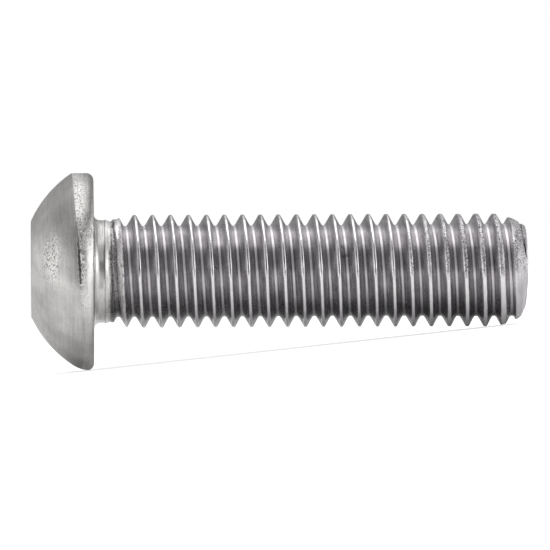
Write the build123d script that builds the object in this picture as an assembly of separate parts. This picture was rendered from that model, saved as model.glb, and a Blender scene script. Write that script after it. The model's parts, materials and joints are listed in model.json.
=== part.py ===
# Button head socket screw, M8 x 1.25, 30 mm under the head, threaded up to a short neck.
#
# The screw is formed with its axis on Z, the bearing face of its head at Z = 0 and its point at
# +Z. Finished, it is laid on its side, as it rests when put down: on the rim of its head and on
# its rounded point, with the point toward +X. Lengths are in millimetres, angles in degrees.
from build123d import *
import os
from math import asin, atan2, ceil, cos, degrees, hypot, radians, sqrt, tan

# Thread
pitch = 1.25
crest_radius = 3.925
flank_angle = 30.0            # of each flank, from the plane square to the axis
crest_land = 0.19             # width of the flat along the top of the ridge
root_land = 0.165             # width of the flat along the bottom of the groove
first_groove = 1.56           # from the bearing face to where the groove has its full depth
run_out_angle = 38.0          # slope at which the groove rises out of the shank at its start
cutter_clearance = 0.06       # how far the thread's cutter stands out of the shank

# Shank
length = 30.0                 # from the bearing face to the point's end
ridge_rise = 0.325            # of the rolled ridges above the plain shank that is left as the neck
neck_length = 1.0
swell_length = 1.2            # over which the ridges grow from the neck to full height
point_length = 2.5            # the ball-shaped point, which starts the thread in its hole
end_edge_radius = 0.25
under_head_radius = 0.5       # the fillet between neck and bearing face

# Head
head_radius = 6.85
head_height = 4.35
flat_top_radius = 3.34
dome_radius = 8.0
dome_offset = 0.2             # the heading die's dome sits this far off the thread's axis
rim_edge_radius = 0.5         # between the rim and the bearing face
flat_edge_radius = 0.15       # between the dome and the flat top

# Hexagon socket
socket_width = 5.05           # across the flats
socket_depth = 3.0            # of the flats, from the flat top
socket_cone_angle = 60.0      # half the angle of the cone that closes the socket
socket_mouth = 0.12           # how far the mouth's chamfer reaches past the hexagon's corners


def head():
    """Disc with a rounded lower edge, cut to a dome that ends in a flat top."""
    disc = Cylinder(head_radius, head_height, align=(Align.CENTER, Align.CENTER, Align.MAX))
    bearing_edge = disc.edges().sort_by(Axis.Z)[-1]
    disc = fillet(bearing_edge, rim_edge_radius)
    dome_centre = sqrt(dome_radius**2 - flat_top_radius**2) - head_height
    blank = disc & Pos(-dome_offset, 0, dome_centre) * Sphere(dome_radius)
    flat_edge = blank.faces().sort_by(Axis.Z)[0].edges()
    return fillet(flat_edge, flat_edge_radius)


def socket():
    """Hexagonal hole with a chamfered mouth and a conical bottom, as the punch leaves it."""
    corner_radius = socket_width / 2 / cos(radians(30))
    mouth_radius = corner_radius + socket_mouth
    upward = (Align.CENTER, Align.CENTER, Align.MIN)
    flats = extrude(RegularPolygon(corner_radius, 6), socket_depth)
    mouth = Cone(mouth_radius, 0, mouth_radius / 2, align=upward)
    bottom_depth = socket_width / 2 / tan(radians(socket_cone_angle))
    bottom = Pos(0, 0, socket_depth) * Cone(socket_width / 2, 0, bottom_depth, align=upward)
    return Pos(0, 0, -head_height) * (flats + mouth + bottom)


def shank():
    """Fillet, neck, swell and plain rod up to a ball-shaped point, before the thread is formed."""
    neck_radius = crest_radius - ridge_rise
    swell_end = neck_length + swell_length
    ball_centre = length - point_length
    end_radius = sqrt(crest_radius**2 - point_length**2)
    inside_head = Polyline(
        (0, length),
        (0, -under_head_radius),
        (neck_radius + under_head_radius, -under_head_radius),
        (neck_radius + under_head_radius, 0),
    )
    fillet_arc = RadiusArc(inside_head @ 1, (neck_radius, under_head_radius), under_head_radius)
    side = Polyline(
        (neck_radius, under_head_radius),
        (neck_radius, neck_length),
        (crest_radius, swell_end),
        (crest_radius, ball_centre),
    )
    ball_arc = RadiusArc(side @ 1, (end_radius, length), -crest_radius)
    end = Line((end_radius, length), (0, length))
    profile = make_face([inside_head, fillet_arc, side, ball_arc, end])
    rod = revolve(Plane.XZ * profile, Axis.Z)
    end_edge = rod.faces().sort_by(Axis.Z)[-1].edges()
    return fillet(end_edge, end_edge_radius)


def groove_corners():
    """The thread groove's section, in the plane of the axis, at the place where it starts."""
    slope = tan(radians(flank_angle))
    depth = (pitch - crest_land - root_land) / 2 / slope
    root_radius = crest_radius - depth
    outer_radius = crest_radius + cutter_clearance
    half_mouth = (pitch - crest_land) / 2 + cutter_clearance * slope
    return [
        (root_radius, 0, first_groove + root_land / 2),
        (outer_radius, 0, first_groove + half_mouth),
        (outer_radius, 0, first_groove - half_mouth),
        (root_radius, 0, first_groove - root_land / 2),
    ]


def groove_turns():
    """The section carried one turn up a right-hand helix, and that turn repeated past the end."""
    section = make_face(Polyline(*groove_corners(), close=True)).face()
    one_turn = Helix(pitch, pitch, crest_radius, center=(0, 0, first_groove))
    turn = Solid.sweep(section, Wire([one_turn]), is_frenet=True)
    count = ceil((length - first_groove) / pitch) + 1
    return [Pos(0, 0, number * pitch) * turn for number in range(count)]


def run_out():
    """Half a turn back toward the head, on which the groove climbs out of the shank."""
    section = make_face(Polyline(*reversed(groove_corners()), close=True)).face()
    climb = Helix(
        pitch / cos(radians(run_out_angle)),
        pitch / 2,
        crest_radius,
        center=(0, 0, first_groove),
        direction=(0, 0, -1),
        cone_angle=run_out_angle,
    )
    return Solid.sweep(section, Wire([Rot(0, 0, 180) * climb]), is_frenet=True)


def laid_down(screw):
    """The screw on its side: one plane touches its rounded point and the rounded edge of its rim."""
    rim_to_ball = hypot(length - point_length + rim_edge_radius, head_radius - rim_edge_radius)
    drop = atan2(head_radius - rim_edge_radius, length - point_length + rim_edge_radius)
    slope = degrees(drop - asin((crest_radius - rim_edge_radius) / rim_to_ball))
    lying = Rot(0, 90 + slope, 0) * screw
    box = lying.bounding_box()
    return Pos(-box.center().X, -box.center().Y, -box.min.Z) * lying


blank = shank() + head() - socket()
screw = blank - groove_turns() - run_out()
os.makedirs("parts", exist_ok=True)
export_step(laid_down(screw).solid(), "parts/button_head_screw.step")
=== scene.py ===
"""A button head socket screw of stainless steel, lying on its side on a pale studio floor."""
import json
import math

import bpy
from mathutils import Matrix, Vector, noise


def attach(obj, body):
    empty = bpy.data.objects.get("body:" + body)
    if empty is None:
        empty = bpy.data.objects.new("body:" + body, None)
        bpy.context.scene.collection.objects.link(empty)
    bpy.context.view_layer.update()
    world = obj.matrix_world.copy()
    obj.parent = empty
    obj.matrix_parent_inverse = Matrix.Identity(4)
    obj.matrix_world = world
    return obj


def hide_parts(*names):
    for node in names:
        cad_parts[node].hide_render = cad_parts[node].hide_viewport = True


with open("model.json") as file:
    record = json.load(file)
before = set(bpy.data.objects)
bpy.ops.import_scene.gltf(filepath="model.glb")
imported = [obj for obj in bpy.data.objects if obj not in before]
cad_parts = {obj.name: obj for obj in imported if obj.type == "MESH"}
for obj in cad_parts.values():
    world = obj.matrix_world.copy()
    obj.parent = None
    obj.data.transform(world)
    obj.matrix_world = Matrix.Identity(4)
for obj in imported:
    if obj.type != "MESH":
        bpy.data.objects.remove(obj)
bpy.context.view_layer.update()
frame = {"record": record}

# --- Threaded rod ----------------------------------------------------------------------------
# The rod is cold rolled between flat dies, which press the groove in so that ridges rise beside
# it. The groove starts shallow and crowded under the head. Near the point, where the rod was
# thinner, the crests stay wide and torn.

# The screw lies on its rim and its point, so its axis slopes a little. Every size is in
# millimetres from the bearing face under the head: along the axis toward the point, and outward
# from the axis. Angles run round from the top toward the front.
bearing_mount = next(m for m in frame["record"]["mounts"] if m["name"] == "bearing_face")
along = Vector(bearing_mount["axis"]).normalized()
toward_front = Vector((0, -1, 0))
upward = toward_front.cross(along)
bearing_centre = Vector((bearing_mount["pos_m"][0], 0, bearing_mount["pos_m"][2]))
MM = 0.001
TURN = 2 * math.pi
points = []
finishes = []
faces = []


def put(radius, s, angle, finish):
    """A point of the surface, from its radius, place along the axis, angle and finish."""
    height = radius * math.cos(angle)
    depth = radius * math.sin(angle)
    points.append(bearing_centre + (along * s + upward * height + toward_front * depth) * MM)
    finishes.append(finish)
    return len(points) - 1


def stitch(left, right):
    """Faces between two columns of points, without the ones that have no width."""
    for a, b, c, d in zip(left, left[1:], right[1:], right):
        corners = list(dict.fromkeys((a, b, c, d)))
        if len(corners) > 2:
            faces.append(corners)


def roughly(s, radius, angle, grain, seed=0.0):
    """Smooth random unevenness, from -1 to 1, with bumps about as wide as the grain."""
    height = radius * math.cos(angle)
    depth = radius * math.sin(angle)
    return noise.noise(Vector((s + seed, height - seed, depth + 2 * seed)) / grain)


def ease(value, start, end):
    """From 0 at start to 1 at end, without corners. A pair named OVER is a start and an end."""
    t = min(max((value - start) / (end - start), 0.0), 1.0)
    return t * t * (3 - 2 * t)


def in_band(angle, band):
    """From 0 to 1 and back. A band is the degrees where it starts, is full, fades and ends."""
    start, full, fading, end = (math.radians(degrees) for degrees in band)
    return ease(angle, start, full) * (1 - ease(angle, fading, end))


# The dies' groove, the rod that it is rolled into, and the rounding of the crests' corners,
# which the metal that flowed up widens to a lip above the front.
LENGTH = 30.0
PITCH = 1.25
CREST_RADIUS = 3.925
ROOT_RADIUS = 3.15
HALF_GROOVE = math.radians(30)
FLANK_SLOPE = 1 / math.tan(HALF_GROOVE)
ROOT_ROUNDING = 0.19
ROOT_TANGENT = ROOT_ROUNDING * math.cos(HALF_GROOVE)
EDGE_LEAN = 0.03
EDGE_LEAN_OVER = 0.3
FIRST_GROOVE = 1.56
CROWDING = 0.20
CROWDED_OVER = (math.radians(-90), math.radians(150))
LEAD_IN_DEPTH = 0.35
LEAD_IN_OVER = (0, math.radians(66))
RUN_OUT_CLIMB = 0.9
RUN_OUT_OVER = (math.radians(170), math.radians(290))
SHALLOWER_BY = 0.05
SHALLOWER_OVER = (20, 27)
NECK_RADIUS = 3.57
RING_HEIGHT = 0.05
RING_OVER = (0.74, 0.79)
RING_FALL = 0.22
RING_FALL_OVER = 0.5
FIRST_STEP = 0.44
FIRST_STEP_OVER = (1.12, 1.36)
SECOND_STEP_OVER = (1.5, 2.25)
BALL_START = 27.5
BALL_LENGTH = 2.6
SHARP_EDGE = 0.045
LIP_ROUNDING = 0.18
LIP_BAND = (36, 58, 88, 99)


def groove_middle(past):
    """Place of the groove's middle, at an angle past the start of its full depth."""
    return FIRST_GROOVE + PITCH * past / TURN + CROWDING * (1 - ease(past, *CROWDED_OVER))


def neck(s):
    """Radius of the neck, with the ring left by the heading die."""
    fall = RING_FALL * min(max((s - RING_OVER[1]) / RING_FALL_OVER, 0), 1)
    return NECK_RADIUS + RING_HEIGHT * ease(s, *RING_OVER) - fall


def rolled_rod(s):
    """Radius of the rod over its crests, which swell in two steps and end in a ball."""
    before = NECK_RADIUS + RING_HEIGHT - RING_FALL
    grown = FIRST_STEP * ease(s, *FIRST_STEP_OVER) + (1 - FIRST_STEP) * ease(s, *SECOND_STEP_OVER)
    swell = neck(s) + (CREST_RADIUS - before) * grown
    past_ball = min(max(s - BALL_START, 0), BALL_LENGTH)
    return swell - CREST_RADIUS + math.sqrt(CREST_RADIUS**2 - past_ball**2)


def groove_floor(past, s):
    """Radius of the bottom of the groove, which climbs out at the head end."""
    lead_in = LEAD_IN_DEPTH * ease(-past, *LEAD_IN_OVER)
    run_out = RUN_OUT_CLIMB * ease(-past, *RUN_OUT_OVER)
    return ROOT_RADIUS + lead_in + run_out + SHALLOWER_BY * ease(s, *SHALLOWER_OVER)


def groove_side(u, bottom):
    """Radius of the groove's surface at u from its middle, a little steeper toward the head."""
    inside = min(abs(u), ROOT_TANGENT)
    bowl = bottom + ROOT_ROUNDING - math.sqrt(ROOT_ROUNDING**2 - inside**2)
    outside = max(abs(u) - ROOT_TANGENT, 0)
    if u < 0:
        outside += EDGE_LEAN * min(outside / EDGE_LEAN_OVER, 1)
    return bowl + outside * FLANK_SLOPE


def groove_half_width(depth):
    """Half the width of a groove of that depth."""
    return ROOT_TANGENT + (depth - ROOT_ROUNDING / 2) / FLANK_SLOPE


def softer_of(a, b, width):
    """The lower of two radii, with the corner between them rounded over that width."""
    near = max(width - abs(a - b), 0) / width
    return min(a, b) - near**2 * width / 4


def corner_softness(u, angle):
    """How far the crest's corner is rounded, which the lip adds to, most on the head's side."""
    return SHARP_EDGE + (LIP_ROUNDING if u > 0 else 0.5 * SHARP_EDGE) * in_band(angle, LIP_BAND)


# Each point's finish is its greyness, its roughness, and how scored and how pitted it is.
ROOT_FINISH = (0.80, 0.75, 0.3, 0.0)
FLANK_FINISH = (0.45, 0.45, 0.9, 0.12)
SHOULDER_FINISH = (0.48, 0.35, 0.9, 0.12)
LIP_FINISH = (0.62, 0.30, 0.6, 0.12)
CREST_FINISH = (0.99, 0.10, 0.3, 0.10)
EDGE_FINISH = (1.0, 0.0, 0.2, 0.10)
# Near-black, for the painted dark reflection along the crest's middle where it faces the front.
CREST_DARK_REFLECTION_FINISH = (0.02, 0.60, 0.2, 0.3)
RUN_OUT_FINISH = (0.33, 0.55, 1.0, 0.8)
RING_FINISH = (0.95, 0.60, 0.6, 0.05)
TORN_FINISH = (0.58, 0.55, 0.2, 1.0)
FIRST_RIDGE_FINISH = (1.0, 0.20, 0.2, 0.3)
# Dark grey for the painted shade on the lower side of the thread and underneath it.
UNDERSIDE_SHADE_FINISH = (0.20, 0.60, 0.7, 0.2)
LAST_RIDGE_FINISH = (0.70, 0.60, 0.3, 0.10)
DENT_FINISH = (0.05, 0.8, 0.2, 0.5)


def between(first, second, share):
    """A finish part way from the first to the second."""
    return tuple(a + (b - a) * share for a, b in zip(first, second))


# Rows of points across a groove, from its middle. A corner's rows are their distance from the
# crest's edge, their finish off the lip and on it, and their share of the painted dark
# reflection, a near-black streak painted along the middle of the crest.
ROOT_ROWS = ((0.05, ROOT_FINISH), (0.11, FLANK_FINISH))
FLANK_FOOT = 0.15
FLANK_ROWS = (0.2, 0.5, 0.8)
SHARP_CORNER = (
    (-0.03, FLANK_FINISH, FLANK_FINISH, 0.0),
    (0.0, FLANK_FINISH, EDGE_FINISH, 0.0),
    (0.035, FLANK_FINISH, EDGE_FINISH, 0.0),
)
ROUND_CORNER = (
    (-0.13, FLANK_FINISH, SHOULDER_FINISH, 0.0),
    (-0.06, FLANK_FINISH, LIP_FINISH, 0.0),
    (0.0, FLANK_FINISH, CREST_FINISH, 0.15),
    (0.05, CREST_FINISH, CREST_FINISH, 0.55),
)
DARK_REFLECTION_ON_HEAD_SIDE = 1.0
DARK_REFLECTION_ON_POINT_SIDE = 0.7
LEAST_HALF_GROOVE = 0.24
LEAST_HALF_CREST = 0.06


def groove_rows(to_last, to_next, middle, bottom, angle):
    """Distances from the groove's middle, with finishes and shares of painted dark reflection."""
    rows = [(0.0, ROOT_FINISH, 0.0)]
    for side, room in ((-1, to_last), (1, to_next)):
        corner = SHARP_CORNER if side < 0 else ROUND_CORNER
        edge = groove_half_width(rolled_rod(middle + side * room) - bottom)
        edge = min(max(edge, LEAST_HALF_GROOVE), room - LEAST_HALF_CREST)
        edge -= EDGE_LEAN if side < 0 else 0
        half = [(u, finish, 0.0) for u, finish in ROOT_ROWS]
        flank = edge + corner[0][0] - FLANK_FOOT
        half += [(FLANK_FOOT + flank * share, FLANK_FINISH, 0.0) for share in FLANK_ROWS]
        for step, off_lip, on_lip, dark_reflection in corner:
            on = in_band(angle, LIP_BAND) if math.cos(angle) > 0 else 1.0
            half.append((edge + step, between(off_lip, on_lip, on), dark_reflection))
        crest_start = edge + corner[-1][0]
        crest = (crest_start + room) / 2
        half.append((crest, CREST_FINISH, DARK_REFLECTION_ON_HEAD_SIDE if side < 0 else DARK_REFLECTION_ON_POINT_SIDE))
        if side > 0:
            half.append((room, CREST_FINISH, DARK_REFLECTION_ON_HEAD_SIDE))
        rows += [(side * u, finish, dark_reflection) for u, finish, dark_reflection in half]
    return sorted(rows)


# Small dents from handling: place along the axis, angle in degrees, reach and depth.
DENTS = (
    (1.32, 20, 0.13, 0.17),
    (1.29, 27, 0.10, 0.15),
    (1.62, 142, 0.10, 0.15),
    (1.90, 84, 0.06, 0.06),
    (1.97, 94, 0.06, 0.06),
    (3.55, 17, 0.16, 0.15),
    (17.1, 62, 0.10, 0.07),
    (17.5, 71, 0.12, 0.09),
    (8.4, 86, 0.07, 0.05),
    (6.1, 116, 0.08, 0.05),
)


def dented(s, angle):
    """How deep the dents are here, with the share of the deepest one."""
    depth = 0.0
    share = 0.0
    for dent_s, degrees, reach, deepest in DENTS:
        beside = (angle - math.radians(degrees)) * CREST_RADIUS
        near = math.exp(-((s - dent_s) ** 2 + beside**2) / reach**2)
        depth += deepest * near
        share = max(share, near)
    return depth, share


# Marks of rolling, with painted shade below, a painted highlight in the upper roots and a painted
# dark reflection along the front crests: where they are along the axis and round it, and how
# strong they are.
ROD_START = 0.95
ROD_END = 29.44
SAME_PLACE = 1e-9
COLUMNS = 150
TURNS_BEFORE = 2
TURNS_AFTER = 3
TORN_MIDDLE = math.radians(40)
TORN_SIDE_OVER = (48, 62)
RIDGE_SIDE_OVER = (90, 120)
WIDE_CRESTS_OVER = (19.5, 25.0)
FIRST_RIDGE = 1.95
FIRST_RIDGE_OVER = (-0.4, -0.2)
ON_CREST_OVER = (-0.08, -0.02)
NEAR_CREST_OVER = (-0.16, -0.06)
LAST_RIDGE_OVER = (28.7, 28.9)
LAST_RIDGE_BAND = (90, 97, 320, 340)
CREST_WEAR = 0.014
TORN_DEPTH = 0.03
TEAR_GRAIN = 0.22
TEAR_SHARE = 0.3
DARK_RUN_OUT_OVER = (1.65, 1.9)
BELOW_CREST_OVER = (-0.6, -0.1)
FIRST_STEP_DARK_OVER = (1.10, 1.14)
SECOND_STEP_DARK_OVER = (1.45, 1.6)
RING_END_OVER = (1.08, 1.13)
UNDERSIDE_SHADE_BAND = (105, 150, 230, 300)
UNDERSIDE_SHADE_SHARE = 0.5
UNDERNEATH_SHARE = 0.35
UNDERNEATH_OVER = (0.80, 1.0)
ROOT_REACH = 0.3
ROOT_GLOW_ABOVE = 0.15
ABOVE_OVER = (0.52, 0.68)
ROOT_GLOW_HIGH = 0.25
HIGH_OVER = (0.70, 0.86)
DARK_REFLECTION_BAND = (56, 78, 90, 98)
DARK_REFLECTION_SHARE = 0.8
DARK_REFLECTION_RAGGED = 0.6
DARK_REFLECTION_START_OVER = (2.0, 2.4)


def from_torn_middle(angle):
    """How many degrees it is round the rod to the middle of its torn side."""
    return abs(math.degrees(math.remainder(angle - TORN_MIDDLE, TURN)))


def torn_away(s, radius, angle):
    """The share of the metal that is torn away here, in ragged patches."""
    return max(0.0, roughly(s, radius, angle, TEAR_GRAIN) + TEAR_SHARE)


column_angles = [TURN * j / COLUMNS for j in range(COLUMNS)]
turns = math.ceil((ROD_END - ROD_START) / PITCH) + TURNS_AFTER
rod_columns = []
for angle in column_angles:
    torn_side = 1 - ease(from_torn_middle(angle), *TORN_SIDE_OVER)
    ridge_side = 1 - ease(from_torn_middle(angle), *RIDGE_SIDE_OVER)
    below = in_band(angle, LAST_RIDGE_BAND)
    # Where the painted dark reflection darkens the crests: in the band facing the front.
    dark_reflection_here = in_band(angle, DARK_REFLECTION_BAND)
    # Painted shade: the lower side of the thread darkened between its crests, and more underneath.
    underside_shade = UNDERSIDE_SHADE_SHARE * in_band(angle, UNDERSIDE_SHADE_BAND)
    underneath = UNDERNEATH_SHARE * ease(-math.cos(angle), *UNDERNEATH_OVER)
    # Painted highlight: the upper roots are lightened, most near the top.
    painted_root_glow = ROOT_GLOW_ABOVE * ease(math.cos(angle), *ABOVE_OVER)
    painted_root_glow += ROOT_GLOW_HIGH * ease(math.cos(angle), *HIGH_OVER)
    column = []
    last_s = 0.0
    for turn in range(-TURNS_BEFORE, turns):
        past = angle - math.pi + TURN * turn
        middle = groove_middle(past)
        to_last = (middle - groove_middle(past - TURN)) / 2
        to_next = (groove_middle(past + TURN) - middle) / 2
        bottom = groove_floor(past, middle)
        for u, finish, dark_reflection in groove_rows(to_last, to_next, middle, bottom, angle):
            s = min(max(middle + u, ROD_START), ROD_END)
            if s in (ROD_START, ROD_END) and abs(s - last_s) < SAME_PLACE:
                column.append(column[-1])
                continue
            last_s = s
            rod = rolled_rod(s)
            radius = softer_of(rod, groove_side(s - middle, bottom), corner_softness(u, angle))
            wide = ease(s, *WIDE_CRESTS_OVER) * torn_side
            first_ridge = ease(-abs(s - FIRST_RIDGE), *FIRST_RIDGE_OVER) * ridge_side
            on_crest = ease(radius - rod, *ON_CREST_OVER)
            torn = CREST_WEAR + TORN_DEPTH * max(wide, first_ridge)
            radius -= on_crest * torn * torn_away(s, radius, angle)
            run_out = (1 - ease(s, *DARK_RUN_OUT_OVER)) * ease(-on_crest, *BELOW_CREST_OVER)
            dark_step = ease(s, *FIRST_STEP_DARK_OVER) * (1 - ease(s, *SECOND_STEP_DARK_OVER))
            finish = between(finish, RUN_OUT_FINISH, max(run_out, dark_step))
            finish = between(RING_FINISH, finish, ease(s, *RING_END_OVER))
            # Painted shade on the lower side and underneath.
            finish = between(finish, UNDERSIDE_SHADE_FINISH, underside_shade * (1 - on_crest) + underneath)
            # Painted highlight in the upper roots, toward the root's bright finish.
            if abs(s - middle) < ROOT_REACH:
                finish = between(finish, ROOT_FINISH, painted_root_glow)
            # Painted dark reflection: the crest's middle is painted near-black, raggedly, facing the
            # front.
            ragged = DARK_REFLECTION_SHARE + DARK_REFLECTION_RAGGED * roughly(s, radius, angle, grain=0.5, seed=5.0)
            dark_reflection_amount = dark_reflection * dark_reflection_here * ragged
            dark_reflection_amount *= (1 - max(wide, first_ridge)) * ease(s, *DARK_REFLECTION_START_OVER)
            finish = between(finish, CREST_DARK_REFLECTION_FINISH, min(max(dark_reflection_amount, 0), 1))
            finish = between(finish, TORN_FINISH, on_crest * wide)
            near_crest = ease(radius - rod, *NEAR_CREST_OVER)
            finish = between(finish, FIRST_RIDGE_FINISH, near_crest * first_ridge)
            last_ridge = on_crest * ease(s, *LAST_RIDGE_OVER) * below
            finish = between(finish, LAST_RIDGE_FINISH, last_ridge)
            depth, dent = dented(s, angle)
            column.append(put(radius - depth, s, angle, between(finish, DENT_FINISH, dent)))
    rod_columns.append(column)
rows_in_a_pitch = len(groove_rows(PITCH / 2, PITCH / 2, LENGTH / 2, ROOT_RADIUS, 0.0))
for left, right in zip(rod_columns, rod_columns[1:]):
    stitch(left, right)
stitch(rod_columns[-1][:-rows_in_a_pitch], rod_columns[0][rows_in_a_pitch:])

# --- Point -----------------------------------------------------------------------------------
# The rod is cut and its end rounded before the thread is rolled, so the last of the groove
# still shows on the round of the point. Two narrow nicks slant across it above the front, and
# below the end is rounded further and smooth.
POINT_END = 29.88
POINT_RINGS = 14
END_EDGE_STEPS = 4
END_FLAT_RADIUS = 2.88
END_FLAT_RADIUS_BELOW = 2.3
END_FLAT_EDGE = 0.03
END_FLAT_RINGS = (2.0, 1.2, 0.5)
BELOW_BAND = (95, 135, 250, 310)
ROUNDED_BELOW_FROM = 29.6
ROUNDED_BELOW_BY = 4.5
TORN_END_DEPTH = 0.035
TORN_END_OVER = (45, 60)
SMOOTH_END_BAND = (84, 94, 320, 340)
IN_GROOVE_OVER = (0.0, 0.05)
CUT_FINISH = (0.60, 0.5, 0.5, 0.25)
SMOOTH_CUT_FINISH = (0.63, 0.9, 0.3, 0.10)
TORN_CUT_FINISH = (0.50, 0.60, 0.3, 0.6)
NICK_FINISH = (0.22, 0.7, 0.2, 0.3)

# Nicks: both ends along the axis, the degrees that they slant over, width and depth, and the
# degrees that they start and stop at.
NICKS = (
    (29.66, 29.84, 45, 72, 0.038, 0.10, 10, 76),
    (29.78, 29.95, 56, 80, 0.030, 0.08, 48, 86),
)
NICK_STARTS_OVER = 10
NICK_STOPS_OVER = 8
NICK_WANDER = 0.02
NICK_RAGGED = 0.5
NICK_RADIUS = 4


def nicked(s, angle):
    """How deep the nicks are here, with the share of the deeper one."""
    depth = 0.0
    share = 0.0
    degrees = math.degrees(angle)
    for start, end, slant_from, slant_to, width, deepest, first, last in NICKS:
        middle = start + (end - start) * ease(degrees, slant_from, slant_to)
        middle += NICK_WANDER * roughly(0, NICK_RADIUS, angle, grain=0.5, seed=2.0)
        ragged = 1 + NICK_RAGGED * roughly(s, NICK_RADIUS, angle, grain=0.25, seed=6.0)
        near = math.exp(-(((s - middle) / (width * ragged)) ** 2))
        started = ease(degrees, first - NICK_STARTS_OVER, first)
        near *= started * (1 - ease(degrees, last - NICK_STOPS_OVER, last))
        depth += deepest * near
        share = max(share, near)
    return depth, share


def join(ring, next_ring):
    """Faces between two rings of points."""
    for j in range(COLUMNS):
        k = (j + 1) % COLUMNS
        faces.append([ring[j], next_ring[j], next_ring[k], ring[k]])


last_turn = round((LENGTH - FIRST_GROOVE) / PITCH)
last_ring = [column[-1] for column in rod_columns]
for step in range(1, POINT_RINGS + 1):
    s = ROD_END + (POINT_END - ROD_END) * step / POINT_RINGS
    ring = []
    end_radii = []
    for angle in column_angles:
        past = angle - math.pi + TURN * last_turn
        if abs(groove_middle(past - TURN) - s) < abs(groove_middle(past) - s):
            past -= TURN
        u = s - groove_middle(past)
        groove = groove_side(u, groove_floor(past, s))
        radius = softer_of(rolled_rod(s), groove, corner_softness(u, angle))
        torn_end = 1 - ease(from_torn_middle(angle), *TORN_END_OVER)
        rounded = ROUNDED_BELOW_BY * max(s - ROUNDED_BELOW_FROM, 0) ** 2
        radius -= rounded * in_band(angle, BELOW_BAND)
        radius -= TORN_END_DEPTH * torn_end * torn_away(s, radius, angle)
        depth, nick = nicked(s, angle)
        radius -= depth
        finish = between(CUT_FINISH, TORN_CUT_FINISH, torn_end)
        finish = between(finish, SMOOTH_CUT_FINISH, in_band(angle, SMOOTH_END_BAND))
        finish = between(finish, FLANK_FINISH, ease(rolled_rod(s) - groove, *IN_GROOVE_OVER))
        ring.append(put(radius, s, angle, between(finish, NICK_FINISH, nick)))
        end_radii.append(radius)
    join(last_ring, ring)
    last_ring = ring
for step in range(1, END_EDGE_STEPS + 1):
    t = math.radians(90) * step / END_EDGE_STEPS
    s = POINT_END + (LENGTH - POINT_END) * math.sin(t)
    ring = []
    for radius, angle in zip(end_radii, column_angles):
        lower = in_band(angle, BELOW_BAND)
        flat_radius = END_FLAT_RADIUS + (END_FLAT_RADIUS_BELOW - END_FLAT_RADIUS) * lower
        flat_radius = min(flat_radius, radius - END_FLAT_EDGE)
        edge_radius = flat_radius + (radius - flat_radius) * math.cos(t)
        finish = between(CUT_FINISH, SMOOTH_CUT_FINISH, in_band(angle, SMOOTH_END_BAND))
        ring.append(put(edge_radius, s, angle, finish))
    join(last_ring, ring)
    last_ring = ring
for flat_radius in END_FLAT_RINGS:
    ring = [put(flat_radius, LENGTH, angle, CUT_FINISH) for angle in column_angles]
    join(last_ring, ring)
    last_ring = ring
tip = put(0, LENGTH, 0, CUT_FINISH)
for j in range(COLUMNS):
    faces.append([last_ring[j], tip, last_ring[(j + 1) % COLUMNS]])

# --- Neck and head ---------------------------------------------------------------------------
# The head is upset from the same wire: a dome a little off the rod's centre, with a land round
# its rim. At the front the dome's metal has lapped over the land, which leans toward the point.
# Below, the dome flows into the land without an edge.
HEAD_RADIUS = 6.8495
HEAD_HEIGHT = 4.35
DOME_RADIUS = 8.0
DOME_CENTRE = 2.919
DOME_UPWARD = 0.2
DOME_BACKWARD = 0.11
UNDER_HEAD = 0.45
RIM_ROUNDING = 0.5
FRONT_ROUNDING = 0.15
LEAN_FROM = -1.0
LEAN_FULL = -0.3
LEAN_SLOPE = 0.6
EDGE_SOFTNESS = 0.02
MERGED_SOFTNESS = 0.33
MERGED_BAND = (56, 70, 240, 300)
TOP_EDGE = 0.03
TOP_EDGE_INWARD = 0.095
SOCKET_WIDTH = 5.05
SOCKET_DEPTH = 3.0
SOCKET_CONE = math.radians(60)
SOCKET_CORNER = SOCKET_WIDTH / 2 / math.cos(math.radians(30))
SOCKET_CHAMFER = 0.12
SOCKET_MOUTH = SOCKET_CORNER + SOCKET_CHAMFER
SOCKET_END = SOCKET_DEPTH - HEAD_HEIGHT
CONE_RING = 0.9
FULL_WITHIN = 0.6


def dome_shift(angle):
    """How far the dome's centre is from the axis: toward this angle, and across it."""
    toward = DOME_UPWARD * math.cos(angle) - DOME_BACKWARD * math.sin(angle)
    across = DOME_UPWARD * math.sin(angle) + DOME_BACKWARD * math.cos(angle)
    return toward, across


def dome(s, angle):
    """Radius of the domed surface at s."""
    toward, across = dome_shift(angle)
    reach = math.sqrt(max(DOME_RADIUS**2 - (DOME_CENTRE - s) ** 2, 0))
    return toward + math.sqrt(max(reach**2 - across**2, 0))


def dome_edge(angle):
    """Place along the axis where the dome meets the land round the rim."""
    toward, across = dome_shift(angle)
    reach_squared = (HEAD_RADIUS - toward) ** 2 + across**2
    return DOME_CENTRE - math.sqrt(DOME_RADIUS**2 - reach_squared)


def land(s, front):
    """Radius of the land round the rim, which leans toward the point at the front."""
    rounding = RIM_ROUNDING + (FRONT_ROUNDING - RIM_ROUNDING) * front
    past = min(max(s + rounding, 0), rounding)
    bending = min(max(s - LEAN_FROM, 0), LEAN_FULL - LEAN_FROM)
    leaning = LEAN_SLOPE * (bending**2 / (2 * (LEAN_FULL - LEAN_FROM)) + max(s - LEAN_FULL, 0))
    return HEAD_RADIUS - front * leaning - rounding + math.sqrt(rounding**2 - past**2)


def cone(radius):
    """Place along the axis of the socket's conical bottom."""
    return SOCKET_END + (SOCKET_WIDTH / 2 - radius) / math.tan(SOCKET_CONE)


def around(value, middle, reach):
    """1 near the middle, falling to 0 at the reach on both sides."""
    return 1 - ease(abs(value - middle), FULL_WITHIN * reach, reach)


def at_mark(angle, mark):
    """1 at a mark, falling to 0 beside it, where the mark's degrees are its middle and reach."""
    return around(angle, math.radians(mark[0]), math.radians(mark[1]))


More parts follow.
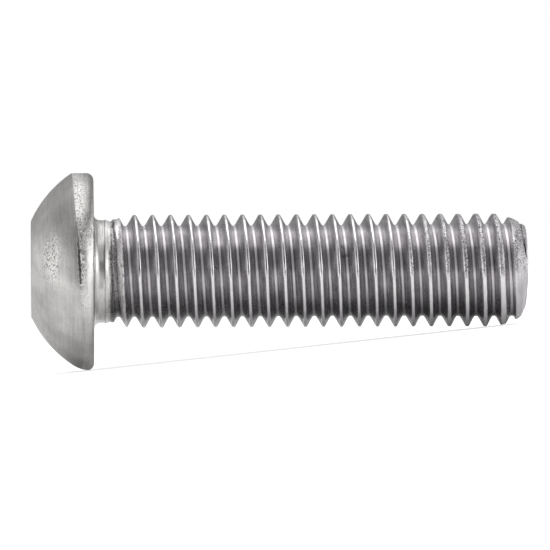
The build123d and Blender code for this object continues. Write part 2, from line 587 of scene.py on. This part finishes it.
# The neck is bright below and greyer above, with a streak and a dark line before its ring.
NECK_FINISH = (1.0, 0.5, 0.6, 0.04)
UPPER_NECK_FINISH = (0.56, 0.6, 1.0, 0.10)
UPPER_NECK_OVER = (0.25, 0.65)
STREAK_FINISH = (0.50, 0.5, 0.8, 0.04)
STREAK_S = (0.52, 0.20)
STREAK_MARK = (94, 20)
DARK_LINE_FINISH = (0.42, 0.5, 0.4, 0.04)
DARK_LINE_S = (0.73, 0.05)
DARK_LINE_MARK = (74, 34)
RING_START_OVER = (0.76, 0.80)


def neck_finish(s, angle):
    """The neck's finish, up to the bright ring."""
    finish = between(NECK_FINISH, UPPER_NECK_FINISH, ease(math.cos(angle), *UPPER_NECK_OVER))
    streak = around(s, *STREAK_S) * at_mark(angle, STREAK_MARK)
    finish = between(finish, STREAK_FINISH, streak)
    line = around(s, *DARK_LINE_S) * at_mark(angle, DARK_LINE_MARK)
    finish = between(finish, DARK_LINE_FINISH, line)
    return between(finish, RING_FINISH, ease(s, *RING_START_OVER))


# The lap: where it lies along the axis and round the rim, and how it crumples beside it.
FRONT_MARK = (92, 42)
LAP_BAND = (54, 82, 94, 101)
LAP_ANGLES = (math.radians(62), math.radians(97))
LAP_PLACES = (-1.16, -0.93)
LAP_OVERRUN = 0.3
LAP_WAVE = 0.03
LAP_RIPPLE = 0.06
LAP_WIDTH = 0.10
LAP_WIDTH_SHARE = 0.9
LAP_WIDTH_RAGGED = 0.8
LAP_DEPTH = 0.18
LAP_FILLED = 0.95
LAP_RAGGED = 0.7
CRUMPLED_MARK = (88, 14)
CRUMPLED_AFTER = 0.17
CRUMPLED_REACH = 0.2
CRUMPLED_DEPTH = 0.16
CRUMPLED_SHARE = 0.15
CRUMPLED_SHINE = 3

# The dome's finish: tumbled, with painted shade toward its edge above and below and beside the
# lap, a painted highlight low in front, and a patch of specks above the front.
DOME_FINISH = (0.55, 1.0, 0.28, 0.12)
DOME_PAINTED_SHADE = (0.37, 1.0, 0.35, 0.12)
DOME_SHADE_OVER = (-3.9, -1.6)
SHADE_ABOVE_OVER = (0.2, 0.75)
SHADE_BELOW_OVER = (0.82, 1.0)
DOME_PAINTED_HIGHLIGHT = (0.66, 1.0, 0.28, 0.12)
BRIGHT_DOME_OVER = (-3.2, -2.4)
BRIGHT_DOME_MARK = (113, 26)
SPECKLED_FINISH = (0.75, 0.8, 0.4, 1.0)
SPECKLED_S = -2.9
SPECKLED_LENGTH = 0.55
SPECKLED_ANGLE = math.radians(79)
SPECKLED_WIDTH = math.radians(17)
SHADE_BY_LAP = 0.6
SHADE_BEFORE_LAP = 0.35
SHADE_BY_LAP_REACH = 0.6

# The land's finish: pitted above, with painted shade at its upper edge and a painted highlight
# at its edge in front, smooth below, and a painted dark reflection at its corner.
SEAT_FINISH = (0.55, 0.6, 0.5, 0.0)
LAND_FINISH = (0.72, 0.7, 0.5, 0.8)
LAND_EDGE_PAINTED_SHADE = (0.35, 0.7, 0.6, 0.3)
LAND_EDGE_OVER = (-0.95, -0.35)
LAND_UPPER_OVER = (0.35, 0.6)
LAND_FRONT_PAINTED_HIGHLIGHT = (0.86, 0.8, 0.5, 0.15)
LAND_FRONT_OVER = (0.2, 0.4)
LAND_BELOW_FINISH = (0.60, 0.9, 0.4, 0.1)
LAND_BELOW_BAND = (96, 120, 240, 300)
LAND_BRIGHT_TO = (math.radians(116), math.radians(130))
LAP_FINISH = (0.70, 0.6, 0.3, 1.0)
LAP_FINISH_AFTER = 0.08
LAP_FINISH_REACH = 0.22
# Dark scale held in the lap's crevice, darkened further with painted shade.
CREVICE_FINISH = (0.26, 0.8, 0.2, 0.6)
# Near-black, for the painted dark reflection at the corners by the bearing face.
CORNER_DARK_REFLECTION = (0.15, 0.7, 0.3, 0.3)
RIM_CORNER_OVER = (-0.05, -0.01)
SOCKET_FINISH = (0.40, 0.8, 0.3, 0.0)

# Rows of points from the neck over the rim and the dome to the socket's bottom. They lie close
# together round the rim's corner and across the lap.
HEAD_COLUMNS = 2 * COLUMNS
NECK_ROWS = (0.90, 0.86, 0.82, 0.79, 0.765, 0.74, 0.70, 0.62, 0.53)
FILLET_STEPS = 8
SEAT_ROWS = (4.7, 5.4)
SEAT_EDGE = 0.02
RIM_STEPS = 10
RIM_REACH = 0.88
LAP_ROWS = 10
LAP_ROWS_FROM = 0.14
LAP_ROWS_APART = 0.03
DOME_STEPS = 18
dome_top = TOP_EDGE - HEAD_HEIGHT

head_angles = [TURN * j / HEAD_COLUMNS for j in range(HEAD_COLUMNS)]
head_columns = []
for angle in head_angles:
    front = at_mark(angle, FRONT_MARK)
    lap = in_band(angle, LAP_BAND)
    lap_along = (angle - LAP_ANGLES[0]) / (LAP_ANGLES[1] - LAP_ANGLES[0])
    lap_along = min(max(lap_along, -LAP_OVERRUN), 1 + LAP_OVERRUN)
    lap_middle = LAP_PLACES[0] + (LAP_PLACES[1] - LAP_PLACES[0]) * lap_along
    lap_middle += LAP_WAVE * roughly(0, HEAD_RADIUS, angle, grain=0.5, seed=7.0)
    lap_middle += LAP_RIPPLE * roughly(0, HEAD_RADIUS, angle, grain=0.16, seed=1.0)
    lap_ragged = LAP_WIDTH_RAGGED * roughly(0, HEAD_RADIUS, angle, grain=0.3, seed=3.0)
    lap_width = LAP_WIDTH * (LAP_WIDTH_SHARE + lap_ragged)
    crumpled_here = at_mark(angle, CRUMPLED_MARK)
    softness = EDGE_SOFTNESS + MERGED_SOFTNESS * in_band(angle, MERGED_BAND)
    boundary = dome_edge(angle) + (lap_middle - dome_edge(angle)) * lap
    shaded = ease(math.cos(angle), *SHADE_ABOVE_OVER) + ease(-math.cos(angle), *SHADE_BELOW_OVER)
    upper_land = ease(math.cos(angle), *LAND_UPPER_OVER)
    front_land = 1 - ease(math.cos(angle), *LAND_FRONT_OVER)
    lower_land = in_band(angle, LAND_BELOW_BAND)
    bright_land = 1 - ease(angle, *LAND_BRIGHT_TO)
    column = []
    for s in NECK_ROWS:
        column.append(put(neck(s), s, angle, neck_finish(s, angle)))
    for k in range(FILLET_STEPS + 1):
        t = math.radians(90) * k / FILLET_STEPS
        radius = neck(UNDER_HEAD) + UNDER_HEAD * (1 - math.cos(t))
        s = UNDER_HEAD * (1 - math.sin(t))
        # Painted dark reflection at the fillet's foot.
        finish = between(neck_finish(s, angle), CORNER_DARK_REFLECTION, ease(-s, *RIM_CORNER_OVER))
        column.append(put(radius, s, angle, finish))
    for radius in (*SEAT_ROWS, land(0, front) - SEAT_EDGE):
        column.append(put(radius, 0.0, angle, SEAT_FINISH))
    rim_places = [
        -RIM_REACH * (1 - math.cos(math.radians(90 / RIM_STEPS) * k)) for k in range(RIM_STEPS + 1)
    ]
    lap_places = [boundary + LAP_ROWS_FROM - LAP_ROWS_APART * k for k in range(LAP_ROWS)]
    dome_start = min(lap_places[-1], rim_places[-1])
    dome_length = dome_top - dome_start
    dome_places = [dome_start + dome_length * k / DOME_STEPS for k in range(1, DOME_STEPS + 1)]
    for s in sorted(rim_places + lap_places + dome_places, reverse=True):
        filled = LAP_FILLED + LAP_RAGGED * roughly(s, HEAD_RADIUS, angle, grain=0.12, seed=9.0)
        in_lap = lap * math.exp(-(((s - lap_middle) / lap_width) ** 2)) * min(filled, 1)
        radius = softer_of(land(s, front), dome(s, angle), softness) - LAP_DEPTH * in_lap
        crumpled = crumpled_here * around(s, lap_middle + CRUMPLED_AFTER, CRUMPLED_REACH)
        crumple = crumpled * roughly(s, radius, angle, grain=0.15, seed=4.0)
        radius -= CRUMPLED_DEPTH * max(0.0, crumple + CRUMPLED_SHARE * crumpled)
        if s > boundary:
            # Painted shade on the land's upper edge, and a painted highlight on its edge in front.
            edge = ease(s, *LAND_EDGE_OVER)
            finish = between(LAND_FINISH, LAND_EDGE_PAINTED_SHADE, edge * upper_land)
            finish = between(finish, LAND_FRONT_PAINTED_HIGHLIGHT, edge * front_land)
            finish = between(finish, LAND_BELOW_FINISH, lower_land * (1 - bright_land * edge))
        else:
            # Painted shade toward the dome's edge, above and below.
            edge = ease(s, *DOME_SHADE_OVER)
            finish = between(DOME_FINISH, DOME_PAINTED_SHADE, shaded * edge)
            # Painted highlight low on the dome's front.
            dome_highlight = at_mark(angle, BRIGHT_DOME_MARK) * ease(s, *BRIGHT_DOME_OVER)
            finish = between(finish, DOME_PAINTED_HIGHLIGHT, dome_highlight)
            # Painted shade beside the lap.
            by_lap = lap * around(s, lap_middle - SHADE_BEFORE_LAP, SHADE_BY_LAP_REACH)
            finish = between(finish, DOME_PAINTED_SHADE, SHADE_BY_LAP * by_lap)
            beside_patch = ((s - SPECKLED_S) / SPECKLED_LENGTH) ** 2
            beside_patch += ((angle - SPECKLED_ANGLE) / SPECKLED_WIDTH) ** 2
            finish = between(finish, SPECKLED_FINISH, math.exp(-beside_patch**2))
        lapped = lap * around(s, lap_middle + LAP_FINISH_AFTER, LAP_FINISH_REACH)
        finish = between(finish, LAP_FINISH, lapped)
        finish = between(finish, CREST_FINISH, min(max(-CRUMPLED_SHINE * crumple, 0), 1))
        # Dark scale in the lap's crevice, with painted shade.
        finish = between(finish, CREVICE_FINISH, in_lap)
        # Painted dark reflection on the land's corner at the front.
        finish = between(finish, CORNER_DARK_REFLECTION, front * ease(s, *RIM_CORNER_OVER))
        column.append(put(radius, s, angle, finish))
    wall = SOCKET_WIDTH / 2 / math.cos((angle % math.radians(60)) - math.radians(30))
    wall_start = -HEAD_HEIGHT + (SOCKET_MOUTH - wall) / 2
    flat_radius = dome(dome_top, angle) - TOP_EDGE_INWARD
    column.append(put(flat_radius, -HEAD_HEIGHT, angle, SEAT_FINISH))
    column.append(put(SOCKET_MOUTH, -HEAD_HEIGHT, angle, SEAT_FINISH))
    column.append(put(wall, wall_start, angle, SOCKET_FINISH))
    column.append(put(wall, SOCKET_END, angle, SOCKET_FINISH))
    for radius in (SOCKET_WIDTH / 2, CONE_RING):
        column.append(put(radius, cone(radius), angle, SOCKET_FINISH))
    head_columns.append(column)
socket_bottom = put(0, cone(0), 0, SOCKET_FINISH)
for column in head_columns:
    column.append(socket_bottom)
for j in range(HEAD_COLUMNS):
    stitch(head_columns[(j + 1) % HEAD_COLUMNS], head_columns[j])
for j in range(COLUMNS):
    here = rod_columns[j][0]
    there = rod_columns[(j + 1) % COLUMNS][0]
    a = head_columns[2 * j][0]
    b = head_columns[2 * j + 1][0]
    c = head_columns[(2 * j + 2) % HEAD_COLUMNS][0]
    faces.append([here, b, a])
    faces.append([here, there, b])
    faces.append([there, c, b])

# --- Steel -----------------------------------------------------------------------------------
# The screw is stainless steel as it comes from the machines, in one piece. The dies leave fine
# lines that run round it, and pits where the metal tore.
SHARP_FROM = math.radians(32)
FINISH_NAMES = ("greyness", "satin", "scored", "pitted")


def set_in_scene(name, data):
    """A new object that shows this data in the scene."""
    thing = bpy.data.objects.new(name, data)
    bpy.context.scene.collection.objects.link(thing)
    return thing


mesh = bpy.data.meshes.new("screw")
mesh.from_pydata(points, [], faces)
mesh.validate()
mesh.polygons.foreach_set("use_smooth", [True] * len(mesh.polygons))
mesh.set_sharp_from_angle(angle=SHARP_FROM)
for k, name in enumerate(FINISH_NAMES):
    layer = mesh.attributes.new(name, "FLOAT", "POINT")
    layer.data.foreach_set("value", [finish[k] for finish in finishes])
screw = set_in_scene("screw", mesh)
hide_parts("button_head_screw")
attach(screw, "root")


def new_material(name):
    """A new material with nodes."""
    material = bpy.data.materials.new(name)
    material.use_nodes = True
    return material


def feed(node, inputs):
    """Gives inputs of a node their values, or links them to the outputs of other nodes."""
    for name, value in inputs.items():
        if isinstance(value, bpy.types.NodeSocket):
            node.id_data.links.new(value, node.inputs[name])
        else:
            node.inputs[name].default_value = value


def add(tree, kind, inputs, **settings):
    """A new node of that kind, with these inputs and settings."""
    node = tree.nodes.new("ShaderNode" + kind)
    for name, value in settings.items():
        setattr(node, name, value)
    feed(node, inputs)
    return node


def maths(tree, operation, *values):
    """The result of a Math node, from numbers or the outputs of other nodes."""
    return add(tree, "Math", dict(enumerate(values)), operation=operation).outputs["Value"]


steel = new_material("stainless steel")
metal = steel.node_tree
GRAIN_SPREAD = 4.0


def finish_map(name):
    """The share of a finish that the mesh stores at its points."""
    return add(metal, "Attribute", {}, attribute_name=name).outputs["Fac"]


def grain(vector, scale, detail):
    """Random grain round zero, about from -1 to 1."""
    noises = add(metal, "TexNoise", {"Scale": scale, "Detail": detail, "Vector": vector})
    return maths(metal, "MULTIPLY_ADD", noises.outputs["Fac"], GRAIN_SPREAD, -GRAIN_SPREAD / 2)


# The texture's place: turned level with the screw, in millimetres from the bearing face.
level_with_screw = {
    "Vector": add(metal, "TexCoord", {}).outputs["Object"],
    "Location": (-bearing_centre.dot(along) / MM, 0, -bearing_centre.dot(upward) / MM),
    "Rotation": (0, math.atan2(along.z, along.x), 0),
    "Scale": (1 / MM, 1 / MM, 1 / MM),
}
in_mm = add(metal, "Mapping", level_with_screw).outputs["Vector"]
axes = add(metal, "SeparateXYZ", {"Vector": in_mm}).outputs
outward = add(metal, "CombineXYZ", {"Y": axes["Y"], "Z": axes["Z"]}).outputs["Vector"]
radius_here = add(metal, "VectorMath", {0: outward}, operation="LENGTH").outputs["Value"]
direction = add(metal, "VectorMath", {0: outward}, operation="NORMALIZE").outputs["Vector"]
round_axis = add(metal, "SeparateXYZ", {"Vector": direction}).outputs

# Lines left by the dies, drawn out round the screw.
LINES_PER_MM = 7.0
LINE_LENGTHS_ROUND = 2.6
LINE_SLANT = 0.9
NECK_END = 1.25
on_head = maths(metal, "LESS_THAN", axes["X"], NECK_END)
across_lines = maths(metal, "MULTIPLY_ADD", axes["X"], on_head, radius_here)
slant = maths(metal, "MULTIPLY", axes["X"], LINE_SLANT)
line_place = {
    "X": maths(metal, "MULTIPLY", across_lines, LINES_PER_MM),
    "Y": maths(metal, "MULTIPLY_ADD", round_axis["Y"], LINE_LENGTHS_ROUND, slant),
    "Z": maths(metal, "MULTIPLY", round_axis["Z"], LINE_LENGTHS_ROUND),
}
line_vector = add(metal, "CombineXYZ", line_place).outputs["Vector"]
all_lines = grain(line_vector, scale=1.0, detail=2.0)
lines = maths(metal, "MULTIPLY", all_lines, finish_map("scored"))

# Flecks, bright where a burr catches the light and dark where a pit doesn't.
FLECKS_PER_MM = (10.5, 7.0, 7.0)
BRIGHT_FLECKS_SHIFT = (31.7, 5.3, 12.9)
FLECK_EDGE = 4.0
FLECK_LEAST = -1.0


def flecks(vector):
    """Scattered flecks, 1 on each and 0 between them."""
    grains = grain(vector, scale=1.0, detail=3.0)
    fleck = maths(metal, "MULTIPLY_ADD", grains, FLECK_EDGE, FLECK_LEAST)
    return maths(metal, "MINIMUM", maths(metal, "MAXIMUM", fleck, 0.0), 1.0)


dark_place = add(metal, "VectorMath", {0: in_mm, 1: FLECKS_PER_MM}, operation="MULTIPLY").outputs[0]
bright_place = add(metal, "VectorMath", {0: dark_place, 1: BRIGHT_FLECKS_SHIFT}, operation="ADD")
all_flecks = maths(metal, "SUBTRACT", flecks(bright_place.outputs[0]), flecks(dark_place))
specks = maths(metal, "MULTIPLY", all_flecks, finish_map("pitted"))

# How far lines, flecks and clouds change the grey, and the tints of the head and the thread.
LINE_TONE = 0.38
SPECK_TONE = 0.85
CLOUD_TONE = 0.12
CLOUDS_PER_MM = 0.9
HEAD_TINT = (1.0, 0.986, 0.965)
THREAD_TINT = (0.99, 0.961, 0.992)
line_tone = maths(metal, "MULTIPLY", lines, LINE_TONE)
speck_tone = maths(metal, "MULTIPLY", specks, SPECK_TONE)
clouds = grain(in_mm, scale=CLOUDS_PER_MM, detail=2.0)
cloud_tone = maths(metal, "MULTIPLY", clouds, CLOUD_TONE)
cloudy = maths(metal, "ADD", cloud_tone, 1.0)
variation = maths(metal, "ADD", maths(metal, "ADD", line_tone, speck_tone), cloudy)
grey = maths(metal, "MULTIPLY", finish_map("greyness"), variation)
tinted = {}
for channel, on_it, off_it in zip(("Red", "Green", "Blue"), HEAD_TINT, THREAD_TINT):
    tint = maths(metal, "MULTIPLY_ADD", on_head, on_it - off_it, off_it)
    tinted[channel] = maths(metal, "MULTIPLY", grey, tint)

# Satin metal is rougher than bright metal, and flecks are rougher again.
SMOOTHEST = 0.13
SATIN_ROUGHER_BY = 0.27
SPECKS_ROUGHER_BY = 0.08
satin = maths(metal, "MULTIPLY_ADD", finish_map("satin"), SATIN_ROUGHER_BY, SMOOTHEST)

# Lines and flecks stand a little above and below the surface.
LINE_HEIGHT = 0.0012
SPECK_HEIGHT = 0.018
line_relief = maths(metal, "MULTIPLY", lines, LINE_HEIGHT)
speck_relief = maths(metal, "MULTIPLY", specks, SPECK_HEIGHT)
relief = {
    "Strength": 1.0,
    "Distance": MM,
    "Height": maths(metal, "ADD", line_relief, speck_relief),
}
metal_look = {
    "Metallic": 1.0,
    "Base Color": add(metal, "CombineColor", tinted).outputs["Color"],
    "Roughness": maths(metal, "MULTIPLY_ADD", specks, SPECKS_ROUGHER_BY, satin),
    "Normal": add(metal, "Bump", relief).outputs["Normal"],
}
feed(metal.nodes["Principled BSDF"], metal_look)
mesh.materials.append(steel)

# --- Floor -----------------------------------------------------------------------------------
# The screw lies on a sheet of white paper, wide enough to fill the view. The paper glows a
# little where the camera sees it, so that it shows white, and less in the steel's reflections.
FLOOR_REACH = 0.6
PAPER = (0.85, 0.85, 0.85, 1)
PAPER_ROUGHNESS = 0.9
SEEN_GLOW = 0.58
MIRRORED_GLOW = 0.08
WHITE = (1, 1, 1, 1)
floor_corners = [
    (-FLOOR_REACH, -FLOOR_REACH, 0),
    (FLOOR_REACH, -FLOOR_REACH, 0),
    (FLOOR_REACH, FLOOR_REACH, 0),
    (-FLOOR_REACH, FLOOR_REACH, 0),
]
floor_mesh = bpy.data.meshes.new("floor")
floor_mesh.from_pydata(floor_corners, [], [(0, 1, 2, 3)])
floor = set_in_scene("floor", floor_mesh)
paper = new_material("white paper")
ray = add(paper.node_tree, "LightPath", {}).outputs
mirrored = maths(paper.node_tree, "MULTIPLY", ray["Is Glossy Ray"], MIRRORED_GLOW)
paper_look = {
    "Base Color": PAPER,
    "Roughness": PAPER_ROUGHNESS,
    "Specular IOR Level": 0.0,
    "Emission Color": WHITE,
    "Emission Strength": maths(
        paper.node_tree, "MULTIPLY_ADD", ray["Is Camera Ray"], SEEN_GLOW, mirrored
    ),
}
feed(paper.node_tree.nodes["Principled BSDF"], paper_look)
floor_mesh.materials.append(paper)

# --- Light -----------------------------------------------------------------------------------
# The studio is plain white all round, and a large softbox hangs over the screw, a little behind
# it. Together they light it at an ordinary level.
SOFTBOX_WIDTH = 0.9
SOFTBOX_DEPTH = 0.7
SOFTBOX_WATTS = 1.6
SOFTBOX_PLACE = (0, 0.1, 0.6)
world = bpy.data.worlds.new("studio")
bpy.context.scene.world = world
world.use_nodes = True
feed(world.node_tree.nodes["Background"], {"Color": WHITE, "Strength": 1.0})
softbox = bpy.data.lights.new("overhead softbox", "AREA")
softbox.shape = "RECTANGLE"
softbox.size = SOFTBOX_WIDTH
softbox.size_y = SOFTBOX_DEPTH
softbox.energy = SOFTBOX_WATTS
set_in_scene("overhead softbox", softbox).location = SOFTBOX_PLACE

# --- Tent ------------------------------------------------------------------------------------
# A tent of lit cloth stands round the screw, and only reflections show it. It is dim in front,
# brighter overhead and behind, and brightest beyond the screw's two ends, down near the floor.
TENT_RADIUS = 1.5
TENT_STEPS = 24
TENT_ROWS = 6
TENT_LOWEST = -2
TENT_HIGHEST = 90
BRIGHTEST = 2.5
FRONT_LEVEL = 0.30
OVERHEAD_LEVEL = 0.65
BACK_LEVEL = 0.3
HEAD_END_LEVEL = 1.5
POINT_END_LEVEL = 2.0
ENDS_FROM = 0.4 * TENT_RADIUS
ENDS_FULL = 0.9 * TENT_RADIUS
ENDS_HEIGHT = 0.75 * TENT_RADIUS
BLACK = (0, 0, 0, 1)

# The arc's levels, by degrees up from the front and over.
ARC_LEVELS = ((50, FRONT_LEVEL), (66, OVERHEAD_LEVEL), (145, OVERHEAD_LEVEL), (165, BACK_LEVEL))

tent_points = []
tent_faces = []
for row in range(TENT_ROWS + 1):
    elevation = math.radians(TENT_LOWEST + (TENT_HIGHEST - TENT_LOWEST) * row / TENT_ROWS)
    across = TENT_RADIUS * math.cos(elevation)
    high = TENT_RADIUS * math.sin(elevation)
    for step in range(TENT_STEPS):
        angle = TURN * step / TENT_STEPS
        tent_points.append((across * math.sin(angle), -across * math.cos(angle), high))
for row in range(TENT_ROWS):
    for step in range(TENT_STEPS):
        a = row * TENT_STEPS + step
        b = row * TENT_STEPS + (step + 1) % TENT_STEPS
        tent_faces.append((a, b, b + TENT_STEPS, a + TENT_STEPS))
tent_mesh = bpy.data.meshes.new("tent")
tent_mesh.from_pydata(tent_points, [], tent_faces)
tent = set_in_scene("tent", tent_mesh)
cloth = new_material("tent cloth")
lit = cloth.node_tree


def levels(place, stops):
    """Grey that eases from stop to stop, each with its place from 0 to 1 and its level."""
    ramp = add(lit, "ValToRGB", {"Fac": place})
    ramp.color_ramp.interpolation = "EASE"
    while len(ramp.color_ramp.elements) < len(stops):
        ramp.color_ramp.elements.new(0.5)
    for element, (share, level) in zip(ramp.color_ramp.elements, stops):
        element.position = share
        element.color = (level / BRIGHTEST,) * 3 + (1,)
    return ramp.outputs["Color"]


def share_of(value, start, end, **more):
    """How far the value is from start to end, from 0 to 1."""
    span = {"Value": value, "From Min": start, "From Max": end}
    return add(lit, "MapRange", span, **more).outputs["Result"]


def mixed(share, first, second):
    """A colour part way from the first to the second."""
    colours = {"Factor": share, "A": first, "B": second}
    return add(lit, "Mix", colours, data_type="RGBA").outputs["Result"]


position = add(lit, "NewGeometry", {}).outputs["Position"]
where = add(lit, "SeparateXYZ", {"Vector": position}).outputs
forward_by = maths(lit, "MULTIPLY", where["Y"], -1.0)
up_and_over = share_of(maths(lit, "ARCTAN2", where["Z"], forward_by), 0.0, math.pi)
arc = levels(up_and_over, [(degrees / 180, level) for degrees, level in ARC_LEVELS])
along_tent = share_of(where["X"], -TENT_RADIUS, TENT_RADIUS)
ends = levels(along_tent, ((0.0, HEAD_END_LEVEL), (1.0, POINT_END_LEVEL)))
lowness = maths(lit, "SUBTRACT", 1.0, share_of(where["Z"], 0.0, ENDS_HEIGHT))
sideways = maths(lit, "ABSOLUTE", where["X"])
at_ends = share_of(sideways, ENDS_FROM, ENDS_FULL, interpolation_type="SMOOTHSTEP")
cloth_look = {
    "Color": mixed(at_ends, arc, mixed(lowness, BLACK, ends)),
    "Strength": BRIGHTEST,
}
lit.nodes.remove(lit.nodes["Principled BSDF"])
glow = add(lit, "Emission", cloth_look).outputs["Emission"]
feed(lit.nodes["Material Output"], {"Surface": glow})
tent_mesh.materials.append(cloth)
tent.visible_camera = False

# --- Camera ----------------------------------------------------------------------------------
# The camera stands far off and square to the screw's front, level with it, and turned with its
# slope. Its picture is centred a little way along the thread.
PIXELS_PER_MM = 14.389
HALF_PICTURE = 275
BEARING_FACE_IN_PICTURE = 93.9
DISTANCE = 410.0
PICTURE_MIDDLE_ON_AXIS = (HALF_PICTURE - BEARING_FACE_IN_PICTURE) / PIXELS_PER_MM
CAMERA_ON_AXIS = -1.9
CAMERA_HEIGHT = -0.288
TILT = math.radians(0.272)
NEAREST = 0.01
FARTHEST = 20
target = bearing_centre + (along * PICTURE_MIDDLE_ON_AXIS + upward * CAMERA_HEIGHT) * MM
eye = bearing_centre + (along * CAMERA_ON_AXIS + upward * CAMERA_HEIGHT + toward_front * DISTANCE) * MM
forward = (target - eye).normalized()
level_right = (along - forward * along.dot(forward)).normalized()
level_top = level_right.cross(forward)
right = level_right * math.cos(TILT) - level_top * math.sin(TILT)
top = level_top * math.cos(TILT) + level_right * math.sin(TILT)
camera_data = bpy.data.cameras.new("camera")
camera_data.angle = 2 * math.atan(HALF_PICTURE / (PIXELS_PER_MM * (target - eye).length / MM))
camera_data.clip_start = NEAREST
camera_data.clip_end = FARTHEST
camera = set_in_scene("camera", camera_data)
camera.matrix_world = Matrix(
    (
        (right.x, top.x, -forward.x, eye.x),
        (right.y, top.y, -forward.y, eye.y),
        (right.z, top.z, -forward.z, eye.z),
        (0, 0, 0, 1),
    )
)
bpy.context.scene.camera = camera
bpy.context.scene.view_settings.view_transform = "Standard"
